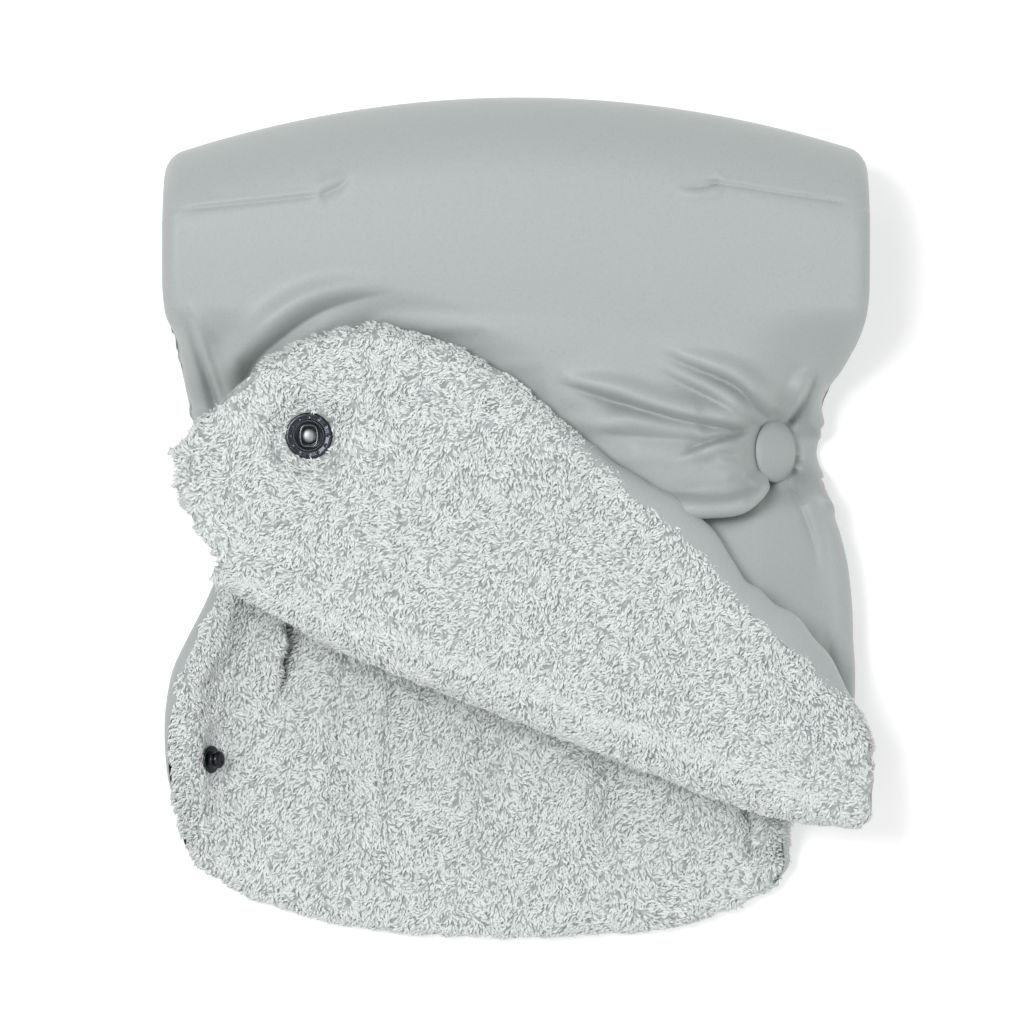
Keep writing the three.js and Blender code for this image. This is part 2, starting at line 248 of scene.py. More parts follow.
@dataclass(frozen=True)
class Finish:
    """A finish: constants on the shader's own sockets."""

    name: str
    colour: str
    roughness: float
    metallic: float = 0.0
    sheen: float = 0.0

    def shader(self) -> tuple:
        """Makes the material with its plain shader.

        Returns:
            The material, its node tree and its shader node.
        """
        material = bpy.data.materials.new(self.name)
        material.use_nodes = True
        tree = material.node_tree
        shader = tree.nodes["Principled BSDF"]
        shader.inputs["Base Color"].default_value = linear(self.colour)
        shader.inputs["Roughness"].default_value = self.roughness
        shader.inputs["Metallic"].default_value = self.metallic
        shader.inputs["Sheen Weight"].default_value = self.sheen
        shader.inputs["Sheen Roughness"].default_value = 0.45
        return material, tree, shader

    def build(self):
        """Makes the material."""
        return self.shader()[0]


@dataclass(frozen=True)
class ShellCloth(Finish):
    """Water-repellent woven shell: fine matte weave with a faint satin sheen on the folds."""

    def build(self):
        """Adds the weave's bump and a slight unevenness of dye."""
        material, tree, shader = self.shader()
        place = add_node(tree, "ShaderNodeTexCoord", {}).outputs["Object"]
        warp = add_node(tree, "ShaderNodeMapping", {"Vector": place, "Scale": (1.0, 3.2, 3.2)})
        weft = add_node(tree, "ShaderNodeMapping", {"Vector": place, "Scale": (3.2, 1.0, 1.0)})
        threads = [
            add_node(tree, "ShaderNodeTexNoise",
                     {"Vector": way.outputs[0], "Scale": 620.0, "Detail": 2.0}).outputs[0]
            for way in (warp, weft)
        ]
        weave = add_node(tree, "ShaderNodeMath", {}, operation="ADD")
        tree.links.new(threads[0], weave.inputs[0])
        tree.links.new(threads[1], weave.inputs[1])
        bump = add_node(tree, "ShaderNodeBump",
                        {"Height": weave.outputs[0], "Strength": 0.16, "Distance": 0.0002})
        tree.links.new(bump.outputs[0], shader.inputs["Normal"])
        ramp = add_node(tree, "ShaderNodeValToRGB", {})
        tree.links.new(weave.outputs[0], ramp.inputs[0])
        ramp.color_ramp.elements[0].position = 0.7
        ramp.color_ramp.elements[0].color = linear("9FA5A4")
        ramp.color_ramp.elements[1].position = 1.3
        ramp.color_ramp.elements[1].color = linear(self.colour)
        tree.links.new(ramp.outputs[0], shader.inputs["Base Color"])
        return material


@dataclass(frozen=True)
class PileBackingGapShade(Finish):
    """The knit under the pile, matte and seen only between the locks; its darker colour is painted
    shade for the gaps between them.
    """

    def build(self):
        """Colours the knit by cells, dark at their edges, as painted shade in the gaps between
        locks, and bumps it by the same cells.
        """
        material, tree, shader = self.shader()
        place = add_node(tree, "ShaderNodeTexCoord", {}).outputs["Object"]
        curls = add_node(tree, "ShaderNodeTexVoronoi", {"Vector": place, "Scale": 420.0})
        # painted shade: light at each cell's middle, dark towards its edges, for the shade between
        # locks
        ramp = add_node(tree, "ShaderNodeValToRGB", {"Fac": curls.outputs["Distance"]})
        ramp.color_ramp.elements[0].color = linear("CBD0CF")
        ramp.color_ramp.elements[1].position = 0.75
        ramp.color_ramp.elements[1].color = linear("9AA1A0")
        tree.links.new(ramp.outputs[0], shader.inputs["Base Color"])
        lumps = add_node(tree, "ShaderNodeBump", {
            "Height": curls.outputs["Distance"], "Strength": 0.9, "Distance": 0.0012},
            invert=True)
        tree.links.new(lumps.outputs[0], shader.inputs["Normal"])
        return material


class Look(Enum):
    """The finishes, each made once."""

    SHELL = ShellCloth("water_repellent_shell", "A5ABAA", 0.5, sheen=0.15)
    # painted shade: the linings' knit is coloured darker than the locks so that the gaps between
    # them look shaded
    BACKING_PAINTED_SHADE = PileBackingGapShade("pile_backing_painted_gap_shade", "ADB3B2", 0.95)
    PILE = Finish("pale_pile_locks", "E5E9E8", 0.9, sheen=0.25)
    PILE_SHADE = Finish("pale_pile_locks_shaded", "D8DDDC", 0.92, sheen=0.25)
    BLACK_NICKEL = Finish("black_nickel", "3A3C40", 0.27, metallic=1.0)
    SPRING = Finish("bright_spring_wire", "6E7175", 0.25, metallic=1.0)
    RIVET = Finish("satin_rivet", "8E9192", 0.42, metallic=1.0)


MATERIALS: dict = {}


def dress(piece, look: Look) -> None:
    """Gives a piece its one material, made the first time it is asked for."""
    if look not in MATERIALS:
        MATERIALS[look] = look.value.build()
    piece.data.materials.clear()
    piece.data.materials.append(MATERIALS[look])


# ---- The diagonal fold's frame ------------------------------------------------------------------
@dataclass(frozen=True)
class FoldFrame:
    """Where the front's lower part is turned up: p runs along the fold and q across it."""

    start: tuple = (-103.0, -29.0, 60.0)
    slope: float = 0.384
    sink: float = 0.0545

    @property
    def ways(self) -> tuple:
        """Unit vectors along and across the fold, in plan."""
        run = math.hypot(1.0, self.slope)
        return np.array([1.0, -self.slope]) / run, np.array([self.slope, 1.0]) / run

    def coords(self, x: np.ndarray, y: np.ndarray) -> tuple:
        """Plan place to (p, q)."""
        a, b = self.ways
        dx, dy = x - self.start[0], y - self.start[1]
        return dx * a[0] + dy * a[1], dx * b[0] + dy * b[1]

    def place(self, p: np.ndarray, q: np.ndarray) -> tuple:
        """(p, q) to plan place."""
        a, b = self.ways
        return (self.start[0] + p * a[0] + q * b[0], self.start[1] + p * a[1] + q * b[1])

    def height(self, p: np.ndarray) -> np.ndarray:
        """Height of the fold's plane at p along it."""
        return self.start[2] - self.sink * p


FOLD = FoldFrame()
FLAP_NEAR = [(-50, 32), (-43, 25), (-30, 13), (-10, 0.6), (0, 0.0), (256, 0.0)]
FLAP_FAR = [
    (-50, 44), (-43, 61), (-34, 81), (-21, 97), (-5, 110), (10, 116), (39, 118), (67, 113),
    (87, 106), (117, 94), (147, 84), (178, 68), (209, 55), (235, 43), (248, 32), (256, 18),
]
PANEL = 14.0          # a padded panel's depth
SNAP_DEPTH = 6.6      # and its depth where a snap squeezes it
CLOTH_OFF = 8.1       # a squeezed panel's outer face, measured from the snap's middle
TOP_Y = 168.0         # the top fold's outermost line
BOW = 23.0            # how far the fold's ends fall back, at a half width of 140
ROLL = 35.0           # outer radius of the rolled top fold
ROLL_PART = 0.2       # share of a panel's rows that makes its part of the roll
BLEND = 28.0          # the top fold bends within this many degrees of its outermost line


def top_line(x: np.ndarray) -> np.ndarray:
    """Where the roll's axis runs: straight across, bowed back towards both ends."""
    return TOP_Y - ROLL - BOW * (x / 140) ** 2


# ---- Snaps --------------------------------------------------------------------------------------
def lean(degrees: float) -> np.ndarray:
    """Unit vector leaning from +Z towards +X."""
    angle = math.radians(degrees)
    return np.array([math.sin(angle), 0.0, math.cos(angle)])


@dataclass(frozen=True)
class Snap:
    """One press snap: where each half's middle is, which way it faces and what it gathers."""

    key: str
    front: tuple
    back: tuple
    cap: np.ndarray
    stud: np.ndarray
    rides: str
    reach: float = 38.0


SNAPS = [
    Snap("upper_left", (-105, 27, 14.5), (-105, 27, 14.5), lean(-8), lean(-8), "front"),
    Snap("upper_right", (95, 27, 20), (95, 27, 20), lean(50), lean(50), "front",
         27.0),
    Snap("lower_left", (-83.6, 32.6, 68.2), (-123.3, -96.6, 25.8),
         np.array([0.0, 0.0, -1.0]), lean(59), "flap"),
    Snap("lower_right", (116, -93, 15), (116, -93, 15), lean(6), lean(6), "front"),
]
UPPER_LEFT, UPPER_RIGHT, LOWER_LEFT, LOWER_RIGHT = SNAPS
CLOSED = (UPPER_LEFT, UPPER_RIGHT, LOWER_RIGHT)


def pinch(at: tuple, x: np.ndarray, y: np.ndarray, flat: float, reach: float) -> np.ndarray:
    """One over a snap and its flat radius, easing to nought at its reach."""
    return 1.0 - ease((np.hypot(x - at[0], y - at[1]) - flat) / (reach - flat))


def plane_height(at: tuple, axis: np.ndarray, off: float, x: np.ndarray, y: np.ndarray):
    """Height of the plane square to an axis, a stated way along it from a point."""
    return at[2] + (off - axis[0] * (x - at[0]) - axis[1] * (y - at[1])) / axis[2]


@dataclass
class SnapParts:
    """Profiles of radius and height up each snap's axis, and the revolved parts."""

    profiles: dict = field(default_factory=lambda: {
        "cap_cover": ([(12.3, 8.5), (12.65, 8.9), (12.5, 9.6), (11.6, 10.5), (9.8, 11.2),
                       (7.0, 11.7), (3.5, 12.0), (0, 12.1)], Look.SHELL),
        "cap": ([(0, 4.0), (1.4, 4.05), (2.5, 4.3), (3.2, 4.65), (3.3, 4.75), (2.3, 4.8),
                 (2.3, 8.6), (11.3, 8.6), (11.3, 8.9), (9.4, 10.0), (4.8, 10.8), (0, 11.0)],
                Look.RIVET),
        "socket": ([(5.6, 5.1), (5.3, 2.4), (5.15, 1.0), (5.3, 0.5), (5.7, 0.3), (6.3, 0.35),
                    (6.6, 0.62), (7.2, 0.55), (8.3, 0.42), (8.9, 0.55), (9.15, 0.9),
                    (9.1, 1.25), (6.4, 1.4), (6.3, 5.8), (2.7, 5.8), (2.7, 5.1), (5.6, 5.1)],
                   Look.BLACK_NICKEL),
        "stud": ([(1.5, -1.1), (5.4, -1.1), (5.6, -0.8), (5.4, -0.45), (4.3, -0.3),
                  (3.6, -0.1), (2.8, 0.3), (2.6, 1.0), (2.65, 1.9), (3.4, 2.35), (3.55, 2.8),
                  (3.3, 3.4), (2.6, 3.75), (1.6, 3.85), (1.2, 3.4), (0, 3.35)],
                 Look.BLACK_NICKEL),
        "stud_cap": ([(0, -10.4), (8, -10.2), (10, -9.4), (10, -8.6), (1.1, -8.6), (1.1, 2.6),
                      (0, 2.6)], Look.RIVET),
        "stud_cap_cover": ([(0, -11.5), (4, -11.45), (7, -11.2), (9.2, -10.6), (10.6, -9.8),
                            (11.1, -9.0), (11.1, -8.5)], Look.SHELL),
    })

    def revolve(self, name: str, profile: list, snap: Snap, upper: bool, turns: int = 96,
                detail=None):
        """Turns a profile about a snap's axis.

        Args:
            name: The piece's name.
            profile: (radius, height) pairs.
            snap: The snap it belongs to.
            upper: Whether it is on the cap's side.
            turns: Points round.
            detail: A function of angle, radius and height to a change in height.

        Returns:
            The new object.
        """
        r, h = np.array(profile, dtype=float).T
        angle = np.linspace(0, 2 * math.pi, turns, endpoint=False)
        rr = np.maximum(r, 1e-4)[:, None] * np.ones_like(angle)
        hh = h[:, None] * np.ones_like(angle)
        if detail is not None:
            hh = hh + detail(angle[None, :], rr, hh)
        local = np.stack([rr * np.cos(angle), rr * np.sin(angle), hh], -1).reshape(-1, 3)
        faces = grid_faces(len(profile), turns, wrap=True)
        return mesh_object(name, self.stand(local, snap, upper), faces)

    @staticmethod
    def stand(local: np.ndarray, snap: Snap, upper: bool) -> np.ndarray:
        """Points about the origin, stood on the axis of the snap's cap side or stud side."""
        axis, at = (snap.cap, snap.front) if upper else (snap.stud, snap.back)
        side = unit(np.cross(axis, [0.0, 1.0, 0.0]))
        first = -side if axis[2] > 0 else side
        turn = np.stack([first, np.cross(axis, first), axis])
        return local @ turn + np.array(at)

    def knurl(self, angle: np.ndarray, r: np.ndarray, h: np.ndarray) -> np.ndarray:
        """Fine ribs inside the flange's rim and a ring of small dimples outside them.

        The ribs are a cosine of sixty turns and the dimples are twelve round dips. Both fade
        over a width of 0.5.
        """
        ribs_at, dips_at, width = 6.2, 7.7, 0.5
        ribs = 0.10 * np.cos(60 * angle) * np.exp(-((r - ribs_at) / width) ** 2) * (h < 1.0)
        step = 2 * math.pi / 12
        near = (np.mod(angle + step / 2, step) - step / 2) * dips_at
        dips = 0.22 * np.exp(-((near / width) ** 2) - ((r - dips_at) / width) ** 2) * (h < 0.9)
        return ribs + dips

    def spring(self, name: str, snap: Snap):
        """The racetrack loop of spring wire across the socket's mouth.

        Its centreline has two straights 3.4 mm from the middle joined by half ellipses, and a
        circle of radius 0.4 is carried along it.
        """
        turns, sides = 96, 10
        angle = np.linspace(0, 2 * math.pi, turns, endpoint=False)
        cx = 3.4 * np.sign(np.cos(angle)) * np.abs(np.cos(angle)) ** 0.45
        cy = 4.2 * np.sin(angle)
        centre = np.stack([cx, cy, np.full_like(cx, 1.55)], -1)
        ahead = unit(np.roll(centre, -1, 0) - np.roll(centre, 1, 0))
        up = np.array([0.0, 0.0, 1.0])
        side = unit(np.cross(ahead, up))
        ring = np.linspace(0, 2 * math.pi, sides, endpoint=False)
        wire = 0.4 * (np.cos(ring)[:, None, None] * side + np.sin(ring)[:, None, None] * up)
        local = (centre + wire).reshape(-1, 3)
        here = np.arange(turns)
        after = (here + 1) % turns
        start = (sides - 1) * turns
        last = np.stack([start + here, start + after, after, here], -1)
        faces = np.concatenate([grid_faces(sides, turns, wrap=True), last])
        return mesh_object(name, self.stand(local, snap, True), faces)

    def build(self) -> None:
        """Makes every snap's seven parts and lets each stand for its CAD node."""
        for snap in SNAPS:
            for part, (profile, look) in self.profiles.items():
                upper = part in ("cap_cover", "cap", "socket")
                detail = self.knurl if part == "socket" else None
                turns = 240 if part == "socket" and snap.key == "lower_left" else 72
                points = self.fine(profile) if part != "cap" else profile
                piece = self.revolve(f"snap_{snap.key}_{part}", points, snap, upper, turns,
                                     detail)
                self.settle(piece, look, snap, part, upper)
            piece = self.spring(f"snap_{snap.key}_spring", snap)
            self.settle(piece, Look.SPRING, snap, "spring", True)

    def fine(self, profile: list) -> list:
        """Splits each profile segment in three so that details have points to stand on."""
        p = np.array(profile, dtype=float)
        t = np.linspace(0, len(p) - 1, 3 * (len(p) - 1) + 1)
        k = np.arange(len(p))
        return np.stack([np.interp(t, k, p[:, 0]), np.interp(t, k, p[:, 1])], -1).tolist()

    def settle(self, piece, look: Look, snap: Snap, part: str, upper: bool) -> None:
        """Dresses a part, recalculates its normals and ties it to its body and CAD node."""
        dress(piece, look)
        outward(piece)
        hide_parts(f"{snap.key}_{part}")
        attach(piece, snap.rides if upper else "back")


def outward(piece) -> None:
    """Merges doubled points and turns every face outwards."""
    work = bmesh.new()
    work.from_mesh(piece.data)
    bmesh.ops.remove_doubles(work, verts=work.verts, dist=1e-6)
    bmesh.ops.recalc_face_normals(work, faces=work.faces)
    work.to_mesh(piece.data)
    work.free()
    piece.data.update()


# ---- Creases ------------------------------------------------------------------------------------
@dataclass(frozen=True)
class Crease:
    """A fold line in the shell: a valley along a path with a soft ridge on one side."""

    path: tuple
    depth: float
    width: float
    ridge: float = 0.5
    tail: float = 0.55
    lap: float = 0.0

    def near(self, x: np.ndarray, y: np.ndarray) -> tuple:
        """Where places lie beside the path.

        Returns:
            Distance over the width, positive on the ridge's side; how strong the fold is there,
            from nought at the path's ends to one; and the direction towards the ridge.
        """
        best = np.full(x.shape, 1e9)
        signed = np.zeros(x.shape)
        where = np.zeros(x.shape)
        ridge_way = np.zeros((*x.shape, 2))
        path = self.smooth()
        lengths = np.hypot(*(path[1:] - path[:-1]).T)
        hand = np.sign(self.ridge)
        run = 0.0
        for a, b, length in zip(path[:-1], path[1:], lengths):
            way = (b - a) / length
            t = np.clip((x - a[0]) * way[0] + (y - a[1]) * way[1], 0.0, length)
            dx, dy = x - a[0] - t * way[0], y - a[1] - t * way[1]
            d = np.hypot(dx, dy)
            closer = d < best
            best = np.where(closer, d, best)
            side = np.sign(way[0] * dy - way[1] * dx)
            signed = np.where(closer, d * side * hand, signed)
            where = np.where(closer, (run + t) / lengths.sum(), where)
            across = np.array([-way[1], way[0]]) * hand
            ridge_way = np.where(closer[..., None], across, ridge_way)
            run += length
        fade = ease(np.minimum(where / 0.15, (1 - where) / self.tail))
        return signed / (self.width * (0.6 + 0.4 * fade)), fade, ridge_way

    def press(self, points: np.ndarray, up: np.ndarray, share: np.ndarray) -> np.ndarray:
        """Folds a skin along the path.

        With d the distance over the width on the ridge's side, the skin falls by depth times
        exp(-|d| to the 1.25), steeper on that side, and rises there by ridge times depth times
        exp(-(d - 2.2) squared / 2.4). The ridge also slides back over the valley by lap times
        exp(-(d - 1.6) squared / 1.6). All of it fades to nought at the path's ends.

        Args:
            points: Array of rows, columns, 3.
            up: The way out of the padding, of the same shape.
            share: How much of the fold is wanted at each point.

        Returns:
            The folded points.
        """
        s, fade, ridge_way = self.near(points[..., 0], points[..., 1])
        strength = fade * share
        steep = np.where(s > 0, s / 0.75, -s / 1.5)
        height = abs(self.ridge) * np.exp(-((s - 2.2) ** 2) / 2.4) - np.exp(-steep ** 1.25)
        moved = points + up * (self.depth * strength * height)[..., None]
        slide = self.lap * strength * np.exp(-((s - 1.6) ** 2) / 1.6)
        moved[..., :2] -= ridge_way * slide[..., None]
        return moved

    def smooth(self) -> np.ndarray:
        """The path with its corners rounded by two passes of corner cutting."""
        path = np.array(self.path, dtype=float)
        for _ in range(2):
            a = path[:-1] * 0.75 + path[1:] * 0.25
            b = path[:-1] * 0.25 + path[1:] * 0.75
            mid = np.stack([a, b], 1).reshape(-1, 2)
            path = np.concatenate([path[:1], mid, path[-1:]])
        return path


# Fold lines of the front's shell: those gathered at the right cap, those over the left side,
# the darts' seams and the hem's pucker.
FRONT_CREASES = [
    Crease(((101, 22), (99, 16), (96, 10), (90, 4.6), (84, 2.4), (74, 1.8), (60, 1), (44, 3)),
           11.0, 2.2, -0.8, 0.12, 5.0),
    Crease(((101, 38), (93, 46), (85, 53), (76, 57), (64, 61), (52, 67)), 8.0, 2.3, -0.6, 0.6, 1.6),
    Crease(((99, 35), (90, 40), (78, 46), (64, 53), (50, 60)), 4.5, 2.6, -0.6, 0.5, 0.8),
    Crease(((97, 34), (82, 36), (62, 39.4), (42, 45.4), (26, 50), (12, 54)), 8.0, 2.5, -0.7,
           0.35, 1.8),
    Crease(((96, 35), (86, 33), (72, 29.6), (60, 24)), 5.0, 1.6, 0.7, 0.4, 1.2),
    Crease(((74, 30.6), (56, 31.4), (28, 34)), 4.0, 4.0, -0.8, 0.4),
    Crease(((97, 14), (84, 9), (70, 8.6), (54, 11)), 4.5, 2.2, 0.6, 0.4, 1.2),
    Crease(((96, 25), (86, 24), (74, 27)), 2.6, 1.8, 0.6),
    Crease(((105, 36), (111, 43), (116, 51), (119, 63)), 7.5, 2.2, 0.7, 0.4, 1.2),
    Crease(((110, 32), (116, 35), (123, 38)), 4.0, 1.5, 0.8, 0.3, 0.8),
    Crease(((109, 25), (115, 23), (120, 25), (118, 29)), 5.5, 1.3, 0.8, 0.3, 1.0),
    Crease(((108, 20), (114, 18), (122, 20)), 4.0, 1.4, 0.8, 0.3, 0.8),
    Crease(((106, 17), (111, 7), (117, -8), (120, -24)), 3.0, 2.6, 0.6),
    Crease(((-113, 48), (-107, 61), (-88, 77), (-72, 85), (-46, 90)), 6.0, 3.4, 0.8),
    Crease(((-121, 38), (-124, 50), (-130, 68), (-137, 88)), 8.0, 2.6, -0.8, 0.4, 1.2),
    Crease(((-117, 44), (-121, 60), (-127, 80)), 4.0, 3.2, -0.7),
    Crease(((124, -78), (122, -58), (126, -36)), 3.0, 3.2, 0.7),
    Crease(((-144, 121), (-110, 124), (-78, 127.5)), 1.1, 0.8, 0.15, 0.1),
    Crease(((-80, 127), (-72, 130), (-66, 136)), 1.7, 1.6, 0.5),
    Crease(((140, 123), (104, 128), (70, 133.5)), 1.1, 0.8, -0.15, 0.1),
    Crease(((79, 133), (70, 130), (60, 131)), 1.7, 1.6, 0.5),
]
TRAY_CREASES = [
    Crease(((-93, -20), (-95, -44), (-97, -64), (-99, -80)), 13.0, 3.2, -0.6, 0.5, 4.0),
    Crease(((-120, -92), (-112, -98), (-104, -112)), 2.5, 3.0, 0.4),
    Crease(((90, -108), (92, -124), (92, -140)), 6.0, 2.4, 0.4, 0.3),
    Crease(((-50, -66), (-54, -96), (-52, -132)), 4.4, 4.0, 0.8, 0.5),
    Crease(((-10, -78), (-13, -104), (-10, -130)), 3.0, 5.0, 0.8, 0.5),
    Crease(((34, -92), (36, -116), (32, -142)), 3.0, 4.6, -0.8, 0.5),
]


def pleats(at: tuple, x: np.ndarray, y: np.ndarray, count: float, depth: float, inner: float,
           outer: float, seed: int) -> np.ndarray:
    """Radiating gathers round a snap: sharp valleys between rounded ridges.

    With a the angle about the snap, bent a little by waves in itself and in the radius, the
    height is depth times (|sin(count a / 2)| to the 0.7, less 0.6), growing from the inner
    radius and dying away towards the outer one.

    Args:
        at: The snap's middle.
        x: Places to the right.
        y: Places up the muff.
        count: Ridges round the snap.
        depth: Height from valley to ridge.
        inner: Radius at which they start.
        outer: Radius by which they have gone.
        seed: Picks how they are bent.

    Returns:
        Changes in height.
    """
    rng = np.random.default_rng(seed)
    shift = rng.uniform(0, 2 * math.pi, 4)
    r = np.hypot(x - at[0], y - at[1])
    a = np.arctan2(y - at[1], x - at[0])
    bent = (a + 0.22 * np.sin(2 * a + shift[0]) + 0.14 * np.sin(3 * a + shift[1])
            + 0.10 * np.sin(r / 9 + shift[2]))
    strength = 0.55 + 0.45 * np.sin(2 * a + shift[3]) * np.sin(3 * a + shift[0])
    fade = ease((r - inner) / 4) * (1 - ease((r - inner - 6) / (outer - inner - 6)))
    wave = np.abs(np.sin(count * bent / 2)) ** 0.7 - 0.6
    return depth * wave * fade * strength


# ---- Cloth --------------------------------------------------------------------------------------
@dataclass(frozen=True)
class ClothSettle:
    """Lets a skin puff up: cloth over padding, held at its borders and snaps."""

    pressure: float = 4.0
    bending: float = 2.0
    frames: int = 20
    limit: float = 5.0

    def run(self, points: np.ndarray, hold: np.ndarray) -> np.ndarray:
        """Simulates the grid as cloth and returns where its points come to rest.

        Args:
            points: Array of rows, columns, 3, in millimetres.
            hold: How firmly each point is pinned, from nought to one.

        Returns:
            The settled points; none has moved further than the limit.
        """
        rows, columns = points.shape[:2]
        faces = grid_faces(rows, columns)
        if grid_normals(points)[..., 2].sum() < 0:
            faces = faces[:, ::-1]
        piece = mesh_object("settling", points.reshape(-1, 3), faces)
        group = piece.vertex_groups.new(name="hold")
        levels = np.round(hold.ravel() * 20) / 20
        for level in np.unique(levels):
            group.add(np.nonzero(levels == level)[0].tolist(), float(level), "REPLACE")
        cloth = piece.modifiers.new("cloth", "CLOTH")
        settings = cloth.settings
        settings.quality = 5
        settings.mass = 0.25
        settings.tension_stiffness = 12.0
        settings.compression_stiffness = 12.0
        settings.shear_stiffness = 4.0
        settings.bending_stiffness = self.bending
        settings.air_damping = 2.0
        settings.vertex_group_mass = "hold"
        settings.pin_stiffness = 1.0
        settings.use_pressure = True
        settings.uniform_pressure_force = self.pressure
        settings.effector_weights.gravity = 0.0
        cloth.collision_settings.use_collision = False
        cloth.collision_settings.use_self_collision = False
        cloth.point_cache.frame_start = 1
        cloth.point_cache.frame_end = self.frames
        scene = bpy.context.scene
        for frame_number in range(1, self.frames + 1):
            scene.frame_set(frame_number)
        settled = piece.evaluated_get(bpy.context.evaluated_depsgraph_get())
        flat = np.empty(rows * columns * 3, dtype=np.float32)
        settled.data.vertices.foreach_get("co", flat)
        scene.frame_set(1)
        moved = flat.reshape(points.shape) / MM - points
        bpy.data.objects.remove(piece, do_unlink=True)
        far = np.linalg.norm(moved, axis=-1, keepdims=True)
        free = ease(1 - 2.5 * self.spread(hold))[..., None]
        return points + free * moved * np.minimum(1.0, self.limit / np.maximum(far, 1e-6))

    @staticmethod
    def spread(hold: np.ndarray, passes: int = 12) -> np.ndarray:
        """The hold averaged with its neighbours again and again, so that it reaches further."""
        for _ in range(passes):
            wide = np.pad(hold, 1, mode="edge")
            hold = (wide[1:-1, 1:-1] + wide[:-2, 1:-1] + wide[2:, 1:-1] + wide[1:-1, :-2]
                    + wide[1:-1, 2:]) / 5
        return hold


def finer(grid: np.ndarray, rows: int, columns: int) -> np.ndarray:
    """Resamples a grid of values to more rows and columns along straight lines, then smooths.

    Args:
        grid: Array of rows, columns, any.
        rows: Rows wanted.
        columns: Columns wanted.

    Returns:
        The finer grid.
    """
    def stretch(values: np.ndarray, count: int) -> np.ndarray:
        t = np.linspace(0, values.shape[0] - 1, count)
        k = np.clip(t.astype(int), 0, values.shape[0] - 2)
        f = (t - k).reshape(-1, *([1] * (values.ndim - 1)))
        before = values[np.maximum(k - 1, 0)]
        a, b = values[k], values[k + 1]
        after = values[np.minimum(k + 2, values.shape[0] - 1)]
        return (a + 0.5 * f * (b - before + f * (2 * before - 5 * a + 4 * b - after
                + f * (3 * (a - b) + after - before))))
    grid = stretch(grid, rows)
    return np.swapaxes(stretch(np.swapaxes(grid, 0, 1), columns), 0, 1)


# ---- Panels -------------------------------------------------------------------------------------
@dataclass
class Panel:
    """One padded panel: a grid under its shell, the padding's depth and the two skins."""

    rows: int = 300
    columns: int = 300

    def grid(self) -> tuple:
        """Even parameters across (u) and along (v) the panel."""
        u = np.linspace(0, 1, self.columns)
        v = np.linspace(0, 1, self.rows)
        return np.meshgrid(u, v)


